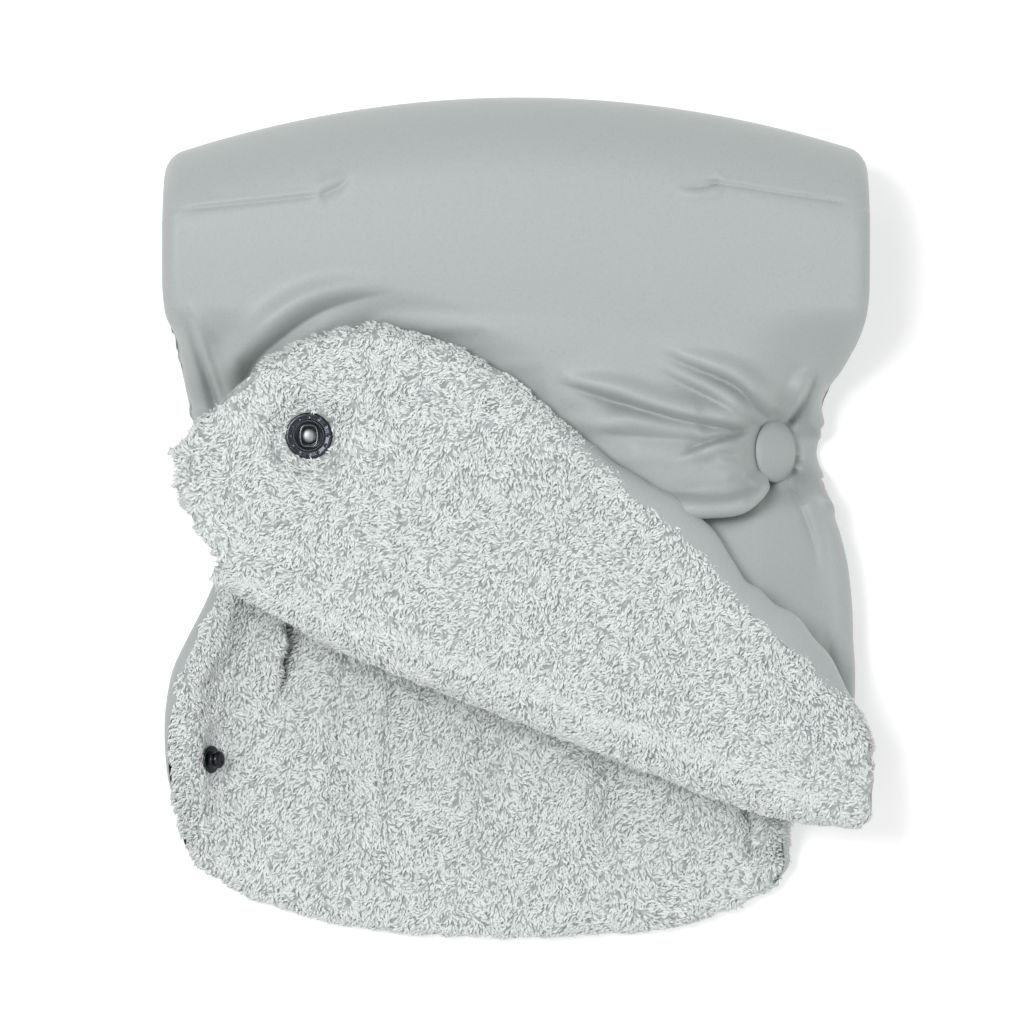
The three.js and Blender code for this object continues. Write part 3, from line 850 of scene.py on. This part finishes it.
@dataclass
class BackPanel(Panel):
    """The back: rolls out of the top fold, lies on the floor and curls up at both sides."""

    left: tuple = ((-168, -130), (-150, -137), (-125, -141), (-85, -141), (-65, -135),
                   (-41, -125), (-18, -116), (33, -124), (99, -135), (168, -135))
    right: tuple = ((-168, 105), (-147, 107), (-125, 109), (-95, 118), (-40, 117), (35, 108),
                    (99, 131), (168, 131))
    wall_left: tuple = ((-168, 20), (-150, 50), (-130, 68), (-60, 66), (-30, 45), (0, 4),
                        (168, 0.5))
    wall_right: tuple = ((-168, 30), (-145, 66), (-122, 72), (-100, 12), (-80, 1), (168, 0.5))

    def surface(self) -> tuple:
        """Places and inward vectors of the shell's mid lines.

        Across, a row is flat on the floor between two arcs that curl up through the wall
        angles; along, it follows a quarter circle out of the top fold and then the floor.
        """
        u, v = self.grid()
        down = np.clip((v - ROLL_PART) / (1 - ROLL_PART), 0, 1)
        nominal = mix(TOP_Y - ROLL, -161.0, down)
        turn_l = np.radians(along(list(self.wall_left), nominal, 12))
        turn_r = np.radians(along(list(self.wall_right), nominal, 12))
        radius_l, radius_r = 38.0, 22.0
        a = along(list(self.left), nominal, 12) + radius_l * np.sin(turn_l)
        b = along(list(self.right), nominal, 12) - radius_r * np.sin(turn_r)
        run = mix(a - radius_l * turn_l, b + radius_r * turn_r, u)
        la = np.maximum(a - run, 0) / radius_l
        ra = np.maximum(run - b, 0) / radius_r
        x = np.clip(run, a, b) - radius_l * np.sin(la) + radius_r * np.sin(ra)
        z = radius_l * (1 - np.cos(la)) + radius_r * (1 - np.cos(ra))
        inward = np.stack([np.sin(la) - np.sin(ra), np.zeros_like(x),
                           np.minimum(np.cos(la), np.cos(ra))], -1)
        top = top_line(x)
        hem = -161.0 + np.where(x < 0, 30 * (np.abs(x) / 136) ** 3, 22 * (np.abs(x) / 108) ** 3)
        angle = np.radians(-90 + (90 - BLEND) * np.clip(1 - v / ROLL_PART, 0, 1))
        rolled = v < ROLL_PART
        y = np.where(rolled, top + ROLL * np.cos(angle), mix(top, hem, down))
        z = np.where(rolled, ROLL + ROLL * np.sin(angle), z)
        curl = np.stack([np.zeros_like(x), -np.cos(angle), -np.sin(angle)], -1)
        inward = np.where(rolled[..., None], curl, unit(inward))
        squeeze = np.zeros_like(x)
        for snap in CLOSED:
            here = pinch(snap.back, x, y, 11, snap.reach) * ~rolled
            plane = plane_height(snap.back, snap.stud, -CLOTH_OFF, x, y)
            z = mix(z, np.maximum(0, plane), here)
            squeeze = np.maximum(squeeze, here)
        on_wall = pinch(LOWER_LEFT.back, x + 10, y, 9, 26) * ~rolled * ease(u * 14)
        points = np.stack([x, y, z], -1) + inward * 6.0 * on_wall[..., None]
        return points, inward, np.maximum(squeeze, on_wall)

    def soft_floor(self, points: np.ndarray) -> np.ndarray:
        """Extra depth of the lining's floor: soft folds that run from the hem up the tray."""
        x, y = points[..., 0], points[..., 1]
        ease_in = ease((60 - y) / 50) * ease((y + 160) / 30)
        folds = 4.2 * np.exp(-((x + 52 - 0.06 * y) / 6.5) ** 2)
        folds -= 4.6 * np.exp(-((x + 64 - 0.08 * y) / 6.0) ** 2)
        folds += 3.2 * np.exp(-((x - 8 + 0.1 * y) / 11.0) ** 2)
        folds -= 2.6 * np.exp(-((x + 18 + 0.05 * y) / 9.0) ** 2)
        folds += 2.4 * np.exp(-((x - 52) / 12.0) ** 2)
        return folds * ease_in + 1.1 * noise(x, y, 26, 5) * ease_in


@dataclass
class FrontPanel(Panel):
    """The front: rolls out of the top fold, puffs over the pocket and is gathered at snaps."""

    left: tuple = ((0, -135), (0.2, -135), (0.6, -124), (1, -101))
    right: tuple = ((0, 131), (0.14, 131), (0.36, 113), (0.42, 114), (0.52, 123), (0.62, 127),
                    (0.8, 128), (0.92, 126), (1, 122))

    def height(self, x: np.ndarray, y: np.ndarray) -> tuple:
        """Outer height and snap squeeze at a plan place.

        It is the fold's plane under the flap, rises beyond the flap's far edge to the top
        fold's height, falls off at both sides and dips to each snap.
        """
        p, q = FOLD.coords(x, y)
        under = FOLD.height(p) - 0.5
        far = along(FLAP_FAR, p, 10)
        beyond = ease((q - far + 4) / 21)
        crown = mix(53, 2 * ROLL, ease((y - 5) / 112))
        crown = crown + 2.0 * noise(x, y, 60, 3) * ease((100 - y) / 60)
        z = mix(under, np.maximum(under, crown), beyond)
        side = np.where(x < 0, ease((-x - 92) / 34), ease((x - 84) / 44))
        side = side * ease(q / 16)
        z = mix(z, 27.0, side * ease((84 - y) / 40))
        squeeze = np.zeros_like(x)
        for snap in CLOSED:
            if snap is UPPER_RIGHT:
                here = pinch((101, 27), x, y, 9, snap.reach)
            else:
                here = pinch(snap.front, x, y, 11, snap.reach)
            if snap is LOWER_RIGHT:
                here = here * ease((q - 1) / 13)
            z = mix(z, plane_height(snap.front, snap.cap, CLOTH_OFF, x, y), here)
            squeeze = np.maximum(squeeze, here)
        z = z - 4.2 * pinch(LOWER_LEFT.front, x, y, 13, 28)
        return z, squeeze

    def surface(self) -> tuple:
        """Places and inward vectors of the shell: a quarter circle, then the height field."""
        u, v = self.grid()
        down = np.clip((v - ROLL_PART) / (1 - ROLL_PART), 0, 1)
        x = mix(along(list(self.left), down, 0.08), along(list(self.right), down, 0.05), u)
        top = top_line(x)
        fold_y = FOLD.start[1] - FOLD.slope * (x - FOLD.start[0])
        angle = np.radians(90 - (90 - BLEND) * np.clip(1 - v / ROLL_PART, 0, 1))
        rolled = v < ROLL_PART
        y = np.where(rolled, top + ROLL * np.cos(angle), mix(top, fold_y + 1.0, down))
        z, squeeze = self.height(x, y)
        z = np.where(rolled, ROLL + ROLL * np.sin(angle), z)
        curl = np.stack([np.zeros_like(x), -np.cos(angle), -np.sin(angle)], -1)
        flat = np.zeros_like(curl)
        flat[..., 2] = -1.0
        inward = np.where(rolled[..., None], curl, flat)
        points = np.stack([x, y, z], -1)
        offset = 0.5 * noise(x, y, 18, 8) * ease((110 - y) / 60)
        offset = offset + pleats((103, 27), x, y, 17, 2.0, 9, 30, 3)
        offset = offset + pleats((-105, 27), x, y, 13, 2.0, 12, 50, 4)
        offset = offset + pleats((116, -93), x, y, 13, 3.0, 12, 44, 6)
        keep = 1 - pinch(UPPER_RIGHT.front, x, y, 9, 15)
        rim = ease(np.minimum(u, 1 - u) * 30)
        points = points - inward * (offset * keep * rim)[..., None]
        return points, inward, squeeze * ~rolled

    def folded(self, points: np.ndarray, inward: np.ndarray) -> np.ndarray:
        """The shell's points with its fold lines pressed in, but for the borders and caps."""
        columns = points.shape[1]
        u = np.linspace(0, 1, columns)[None, :]
        rim = ease(np.minimum(u, 1 - u) * 30)
        cap = UPPER_RIGHT.front
        share = rim * (1 - pinch(cap, points[..., 0], points[..., 1], 7, 13))
        for crease in FRONT_CREASES:
            points = crease.press(points, -inward, share)
        return points

    def hold(self, points: np.ndarray) -> np.ndarray:
        """How firmly the shell is held: at its borders, at the snaps and under the flap."""
        u, v = self.grid()
        x, y = points[..., 0], points[..., 1]
        border = 1 - ease(np.minimum(np.minimum(u, 1 - u) * 16, (1 - v) * 10))
        border = np.maximum(border, 1 - ease((v - 0.30) / 0.14))
        snaps = sum(pinch(snap.front, x, y, 13, 22) for snap in CLOSED)
        p, q = FOLD.coords(x, y)
        under = ease((along(FLAP_FAR, p, 10) - q - 4) / 14)
        return np.clip(border + snaps + under, 0, 1)


@dataclass
class FlapPanel(Panel):
    """The front's lower part, turned up over the front so that its lining shows."""

    def surface(self) -> tuple:
        """Places and inward vectors of the flap's shell, which faces down.

        In the fold's frame it is a leaf between its near and far edges, a little over the
        fold's plane, that droops at both ends.
        """
        u, v = self.grid()
        s = 0.5 - 0.5 * np.cos(math.pi * (0.04 + 0.92 * u))
        p = mix(-46.0, 250.0, (s - s.min()) / (s.max() - s.min()))
        near = along(FLAP_NEAR, p, 5) + 7.0 * ease((-2 - p) / 12) + 4.0 * ease((p - 222) / 28)
        far = along(FLAP_FAR, p, 7) - 7.0
        far = np.maximum(far, near + 2.0)
        q = mix(near, far, v)
        x, y = FOLD.place(p, q)
        ends = 9 * ease((-5 - p) / 45) + 14 * ease((p - 190) / 66)
        squeeze = pinch(LOWER_LEFT.front, x, y, 10, 20)
        z = FOLD.height(p) + 0.5 - ends * ease(q / 30) + 2.2 * squeeze
        points = np.stack([x, y, z], -1)
        inward = np.zeros_like(points)
        inward[..., 2] = 1.0
        return points, inward, squeeze


@dataclass
class TopRoll(Panel):
    """The bending middle of the top fold, between the back's part of it and the front's."""

    def surface(self) -> tuple:
        """Places and inward vectors of a strip of the rolled fold, as wide as the panels."""
        u, v = self.grid()
        x = mix(-135.0, 131.0, u)
        angle = np.radians(mix(-BLEND, BLEND, v))
        top = top_line(x)
        points = np.stack([x, top + ROLL * np.cos(angle), ROLL + ROLL * np.sin(angle)], -1)
        inward = np.stack([np.zeros_like(x), -np.cos(angle), -np.sin(angle)], -1)
        return points, inward, np.zeros_like(x)


# ---- Pile -----------------------------------------------------------------------------------------
@dataclass(frozen=True)
class Pile:
    """The lining's locks: short curled, tapered tufts planted over a grid of points."""

    density: float = 1.0
    length: float = 2.3
    rise: float = 1.25
    radius: float = 0.76
    sides: int = 3
    rings: int = 3
    limit: int = 16000

    def sample(self, points: np.ndarray, outward_dirs: np.ndarray, keep: np.ndarray,
               rng) -> tuple:
        """Random places over a grid, as many in each cell as its area asks for.

        Args:
            points: Array of rows, columns, 3.
            outward_dirs: Unit normals of the same shape.
            keep: Share of the density wanted at each point.
            rng: The random generator.

        Returns:
            Places and normals, each an array of count, 3.
        """
        a, b = points[1:, :-1] - points[:-1, :-1], points[:-1, 1:] - points[:-1, :-1]
        area = np.linalg.norm(np.cross(a, b), axis=-1) * keep[:-1, :-1]
        chance = np.cumsum(area.ravel())
        count = int(chance[-1] * self.density)
        cell = np.searchsorted(chance, rng.uniform(0, chance[-1], count))
        j, i = np.divmod(cell, area.shape[1])
        s, t = rng.uniform(0, 1, (2, count, 1))
        at = (points[j, i] * (1 - s) * (1 - t) + points[j, i + 1] * (1 - s) * t
              + points[j + 1, i] * s * (1 - t) + points[j + 1, i + 1] * s * t)
        return at, outward_dirs[j, i]

    def locks(self, at: np.ndarray, up: np.ndarray, rng, flow: float) -> tuple:
        """Points and faces of one curled lock at each place.

        A lock's middle line leaves along the normal as rise times the sine, runs along the
        surface by length times t to the 1.3 and bends sideways; a tapering ring of points is
        carried along it.

        Args:
            at: Places, count by 3.
            up: Normals, count by 3.
            rng: The random generator.
            flow: The direction the locks lie in plan, in degrees.

        Returns:
            Points and faces.
        """
        count = len(at)
        swirl = noise(at[:, 0], at[:, 1], 22.0, 21) * 30 + noise(at[:, 0], at[:, 1], 5.0, 22) * 30
        turn = np.radians(flow + swirl + rng.normal(0, 22, count))
        lay = np.stack([np.cos(turn), np.sin(turn), np.zeros(count)], -1)
        lay = unit(lay - up * (lay * up).sum(-1, keepdims=True))
        side = np.cross(up, lay)
        size = rng.uniform(0.72, 1.25, (count, 1, 1))
        t = np.linspace(0, 1, self.rings)[None, :, None]
        bend = rng.normal(0, 0.4, (count, 1, 1))
        rise = self.rise * rng.uniform(0.65, 1.25, (count, 1, 1))
        middle = (at[:, None] + up[:, None] * (rise * np.sin(1.95 * t) - 0.5)
                  + lay[:, None] * self.length * size * t ** 1.3
                  + side[:, None] * bend * (np.sin(3.0 * t)))
        ahead = unit(np.gradient(middle, axis=1))
        across = unit(np.cross(ahead, up[:, None]))
        over = np.cross(across, ahead)
        radius = self.radius * size * (0.62 + 0.75 * t) * np.sqrt(np.maximum(1 - t ** 2.6, 0.002))
        ring = np.linspace(0, 2 * math.pi, self.sides, endpoint=False)
        round_ = (np.cos(ring)[None, None, :, None] * across[:, :, None]
                  + 0.75 * np.sin(ring)[None, None, :, None] * over[:, :, None])
        points = middle[:, :, None] + radius[:, :, None] * round_
        per = self.rings * self.sides
        quads = grid_faces(self.rings, self.sides, wrap=True)
        faces = (quads[None] + (np.arange(count) * per)[:, None, None]).reshape(-1, 4)
        return points.reshape(-1, 3), faces

    def plant(self, name: str, points: np.ndarray, outward_dirs: np.ndarray,
              keep: np.ndarray, seed: int, flow: float = -115.0) -> list:
        """Covers a grid with locks in as many pieces as the size of a piece needs.

        Args:
            name: Name the pieces start with.
            points: Array of rows, columns, 3.
            outward_dirs: Unit normals of the same shape.
            keep: Share of the full density at each point.
            seed: Picks the random places.
            flow: The direction the locks lie in plan, in degrees.

        Returns:
            The pieces.
        """
        rng = np.random.default_rng(seed)
        at, up = self.sample(points, outward_dirs, keep, rng)
        order = rng.permutation(len(at))
        groups = max(2, math.ceil(len(at) / self.limit))
        pieces = []
        for number, part in enumerate(np.array_split(order, groups)):
            co, faces = self.locks(at[part], up[part], rng, flow)
            co[:, 2] = np.maximum(co[:, 2], 0.2)
            piece = mesh_object(f"{name}_{number + 1}", co, faces)
            dress(piece, Look.PILE if number % 2 == 0 else Look.PILE_SHADE)
            pieces.append(piece)
        LOG.info("%s: %d locks in %d pieces", name, len(at), groups)
        return pieces


PILE = Pile()
HIDDEN_PILE = 0.22      # share of the locks where the lining shows only once the muff is opened


# ---- The muff -------------------------------------------------------------------------------------
@dataclass
class Muff:
    """The whole muff: panels, folds and pile."""

    half: float = PANEL / 2

    def skins(self, panel: Panel, shell_turn: dict, lining_turn: dict) -> tuple:
        """Both skins of a panel with their borders rolled over.

        Args:
            panel: The panel.
            shell_turn: Border name (left, right, start, end) to degrees round it, or a pair of
                degrees and arc radius.
            lining_turn: The same for the lining.

        Returns:
            Shell points and inward vectors, then lining points and inward vectors.
        """
        points, inward, squeeze = panel.surface()
        depth = mix(PANEL, SNAP_DEPTH, squeeze)[..., None]
        shell = self.roll_borders(points, inward, shell_turn)
        lining = self.roll_borders(points + inward * depth, -inward, lining_turn)
        return shell, lining

    def roll_borders(self, points: np.ndarray, inward: np.ndarray, turns: dict) -> tuple:
        """Rolls each named border of a grid over by its angle."""
        spots = {"left": (1, False), "right": (1, True), "start": (0, False), "end": (0, True)}
        for name, turn in turns.items():
            axis, last = spots[name]
            angle, radius = turn if isinstance(turn, tuple) else (turn, self.half)
            points, inward = curl_edge(points, inward, radius, axis, last, angle)
        return points, inward

    def skin(self, name: str, points: np.ndarray, inward: np.ndarray, look: Look):
        """Makes a skin whose faces look away from the padding."""
        normals = grid_normals(points)
        flip = (normals * inward).sum() > 0
        piece = grid_object(name, points, flip)
        dress(piece, look)
        return piece

    def lumpy(self, points: np.ndarray, inward: np.ndarray, depth: float = 0.3) -> np.ndarray:
        """Raises and sinks a lining by clumps of pile about 7 mm and 3 mm wide."""
        x, y, z = points[..., 0], points[..., 1], points[..., 2]
        height = depth * noise(x + 0.7 * z, y + 0.6 * z, 7.0, 31)
        height += 0.25 * noise(x + 0.7 * z, y + 0.6 * z, 3.2, 32)
        return points - inward * height[..., None]

    def inside(self, points: np.ndarray) -> np.ndarray:
        """One over the middle of a grid, falling to nought 16 mm short of its sides."""
        x = points[..., 0]
        margin = np.minimum(x - x.min(1, keepdims=True), x.max(1, keepdims=True) - x)
        return ease((margin - 16) / 6)

    def back(self) -> None:
        """The back panel: shell, lining and the locks of its open tray."""
        panel = BackPanel(rows=200, columns=210)
        hem_y = panel.surface()[0][:, 0, 1]
        seam = mix(118.0, 62.0, ease((-45 - hem_y) / 70))
        turn = {"left": seam, "right": 95, "end": 70}
        over = {"left": 198 - seam, "right": 135, "end": 150}
        (shell, shell_in), (lining, lining_in) = self.skins(panel, turn, over)
        shell[..., 2] = np.maximum(shell[..., 2], 0.0)
        piece = self.skin("back_panel_shell", shell, shell_in, Look.SHELL)
        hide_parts("back_shell", "back_wadding")
        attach(piece, "back")
        lining[..., 2] += panel.soft_floor(lining) * ease((26 - lining[..., 2]) / 8)
        for crease in TRAY_CREASES:
            lining = crease.press(lining, -lining_in, np.ones(lining.shape[:2]))
        lining = self.lumpy(lining, lining_in)
        lining[..., 2] = np.maximum(lining[..., 2], 1.0)
        piece = self.skin("back_panel_lining", lining, lining_in, Look.BACKING_PAINTED_SHADE)
        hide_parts("back_lining")
        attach(piece, "back")
        _, q = FOLD.coords(lining[..., 0], lining[..., 1])
        keep = mix(HIDDEN_PILE * self.inside(lining), 1.0, ease((20 - q) / 10))
        for tuft in PILE.plant("back_pile", lining, -lining_in, keep, 41, -100.0):
            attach(tuft, "back")

    def front(self) -> None:
        """The front panel: gathered shell and its hidden lining."""
        panel = FrontPanel()
        turn = {"left": 140, "right": 140, "end": 8}
        over = {"left": 60, "right": 60, "end": 8}
        _, (lining, lining_in) = self.skins(panel, turn, over)
        coarse = FrontPanel(rows=160, columns=160)
        points, inward, _ = coarse.surface()
        points = ClothSettle().run(points, coarse.hold(points))
        points = finer(points, 300, 300)
        inward = unit(finer(inward, 300, 300))
        points = panel.folded(points, inward)
        shell, shell_in = self.roll_borders(points, inward, turn)
        piece = self.skin("front_panel_shell", shell, shell_in, Look.SHELL)
        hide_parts("front_shell", "front_wadding")
        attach(piece, "front")
        lining, lining_in = lining[::2, ::2], lining_in[::2, ::2]
        lining = self.lumpy(lining, lining_in)
        piece = self.skin("front_panel_lining", lining, lining_in, Look.BACKING_PAINTED_SHADE)
        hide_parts("front_lining")
        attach(piece, "front")
        keep = HIDDEN_PILE * self.inside(lining)
        for tuft in PILE.plant("front_pile", lining, -lining_in, keep, 53, -90.0):
            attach(tuft, "front")

    def flap(self) -> None:
        """The turned-up flap: lining on top, a rim of shell along its far hem."""
        panel = FlapPanel(rows=110, columns=220)
        points, inward, squeeze = panel.surface()
        p, _ = FOLD.coords(points[-1, :, 0], points[-1, :, 1])
        reach = 6.5 + 7.5 * ease((p - 85) / 60) * ease((250 - p) / 34)
        reach = reach - 3.0 * np.exp(-((p - 178) / 5) ** 2) + 0.8 * noise(p, p, 16, 12)
        near_p, _ = FOLD.coords(points[0, :, 0], points[0, :, 1])
        free = np.pad(ease((-2 - near_p) / 8) + ease((near_p - 226) / 12), 9, mode="edge")
        turn = {"left": 120, "right": 120, "start": mix(5, 90, free)}
        over = {"left": 110, "right": 130, "start": mix(5, 110, free)}
        flat, flat_in = self.roll_borders(points, inward, turn)
        far = np.pad(reach, 9, mode="edge")
        shell = curl_edge(flat, flat_in, far, 0, True, 168, 18, self.half)
        piece = self.skin("flap_panel_shell", *shell, Look.SHELL)
        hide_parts("flap_shell", "flap_wadding")
        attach(piece, "flap")
        depth = mix(PANEL, 4.3, squeeze)[..., None]
        over = {**over, "end": 95}
        lining, lining_in = self.roll_borders(points + inward * depth, -inward, over)
        socket = LOWER_LEFT.front
        away = np.hypot(lining[..., 0] - socket[0], lining[..., 1] - socket[1])[..., None]
        top = mix(lining, self.lumpy(lining, lining_in), ease((away - 9) / 8))
        top = top + lining_in * 8.0 * (1 - ease((away - 7.6) / 1.2))
        piece = self.skin("flap_panel_lining", top, lining_in, Look.BACKING_PAINTED_SHADE)
        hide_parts("flap_lining")
        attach(piece, "flap")
        away = np.hypot(top[..., 0] - socket[0], top[..., 1] - socket[1])
        keep = ease((away - 9.8) / 1.2)
        for tuft in PILE.plant("flap_pile", top, -lining_in, keep, 43, -125.0):
            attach(tuft, "flap")

    def fold_roll(self) -> None:
        """The pile-covered roll that the diagonal fold bends round.

        Across, it is half an ellipse from the flap's lining round to the front's lining; its
        width grows along the fold and its height closes at the right end.
        """
        p, turn = np.meshgrid(np.linspace(-20, 255.5, 280), np.radians(np.linspace(-22, 200, 48)))
        lip = along([(-20, 1.0), (0, 4.0), (40, 10.0), (200, 11.5), (228, 9.0), (256, 1.0)],
                    p, 8)
        close = np.sqrt(np.clip(1 - np.clip((p - 228) / 28.5, 0, 1) ** 2, 0.02, 1))
        open_ = np.sqrt(np.clip(1 - np.clip((-2 - p) / 19, 0, 1) ** 2, 0.02, 1))
        tall = 14.4 * close * open_
        q = 2.0 - (lip + 2.0) * np.sin(np.clip(turn, -0.5, math.pi + 0.5))
        r = tall * np.cos(turn)
        x, y = FOLD.place(p, q)
        points = np.stack([x, y, FOLD.height(p) + r], -1)
        centre = np.stack([*FOLD.place(p, 2.0), FOLD.height(p)], -1)
        inward = unit(centre - points)
        points = self.lumpy(points, inward)
        piece = self.skin("fold_roll_lining", points, inward, Look.BACKING_PAINTED_SHADE)
        ahead = unit(np.array([*FOLD.place(1.0, 0.0), FOLD.height(1.0)]) - FOLD.start)
        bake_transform(piece)
        keep = np.ones_like(p)
        for tuft in PILE.plant("fold_pile", points, -inward, keep, 47, -115.0):
            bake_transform(tuft)

    def top_roll(self) -> None:
        """The bending strip of the top fold, shell outside and lining inside."""
        panel = TopRoll(rows=30, columns=200)
        shell, lining = self.skins(panel, {"left": 140, "right": 140}, {"left": 60, "right": 60})
        for name, skin, look, radius in (("top_fold_shell", shell, Look.SHELL, ROLL),
                                         ("top_fold_lining", lining, Look.BACKING_PAINTED_SHADE, ROLL - PANEL)):
            piece = self.skin(name, *skin, look)
            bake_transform(piece)

    def build(self) -> None:
        """Makes every soft piece."""
        for part in (self.back, self.front, self.flap, self.fold_roll, self.top_roll):
            part()
            LOG.info("built %s", part.__name__)


# ---- Stage ----------------------------------------------------------------------------------------
@dataclass
class Stage:
    """White floor, soft light from the upper left and a camera looking straight down."""

    distance: float = 2.4
    frame_width: float = 0.4096
    aim: tuple = (-0.0036, 0.0026)

    def floor(self) -> None:
        """A plain pale floor under the muff."""
        bpy.ops.mesh.primitive_plane_add(size=6.0, location=(0, 0, -0.0002))
        floor = bpy.context.object
        floor.name = "floor"
        material, _, shader = Finish("white_floor", "F7F7F7", 0.9).shader()
        shader.inputs["Emission Color"].default_value = (1, 1, 1, 1)
        shader.inputs["Emission Strength"].default_value = 0.22
        floor.data.materials.append(material)

    def lights(self) -> None:
        """Even sky, one large soft key from the upper left and a weaker fill."""
        world = bpy.data.worlds.new("studio")
        world.use_nodes = True
        world.node_tree.nodes["Background"].inputs[0].default_value = (1, 1, 1, 1)
        world.node_tree.nodes["Background"].inputs[1].default_value = 0.60
        bpy.context.scene.world = world
        for name, place, size, power in (
            ("key", (-0.7, 0.35, 2.0), 0.6, 21.0),
            ("fill", (1.0, -0.7, 2.0), 1.6, 11.0),
        ):
            data = bpy.data.lights.new(name, "AREA")
            data.size = size
            data.energy = power
            lamp = bpy.data.objects.new(name, data)
            lamp.location = place
            aim = np.array([0.0, 0.0, 0.02]) - np.array(place)
            lamp.rotation_euler = mathutils.Vector(aim).to_track_quat("-Z", "Y").to_euler()
            bpy.context.scene.collection.objects.link(lamp)

    def camera(self) -> None:
        """A long lens straight above the muff."""
        data = bpy.data.cameras.new("camera")
        data.sensor_width = 36.0
        data.lens = 36.0 * (self.distance - 0.03) / self.frame_width
        data.clip_end = 20.0
        camera = bpy.data.objects.new("camera", data)
        camera.location = (*self.aim, self.distance)
        bpy.context.scene.collection.objects.link(camera)
        bpy.context.scene.camera = camera

    def build(self) -> None:
        """Sets the stage and the plain view transform."""
        self.floor()
        self.lights()
        self.camera()
        bpy.context.scene.view_settings.view_transform = "Standard"


def main() -> None:
    """Builds the muff, its snaps and the stage."""
    logging.basicConfig(level=logging.INFO, format="%(message)s")
    Muff().build()
    SnapParts().build()
    Stage().build()


if __name__ == "__main__":
    main()
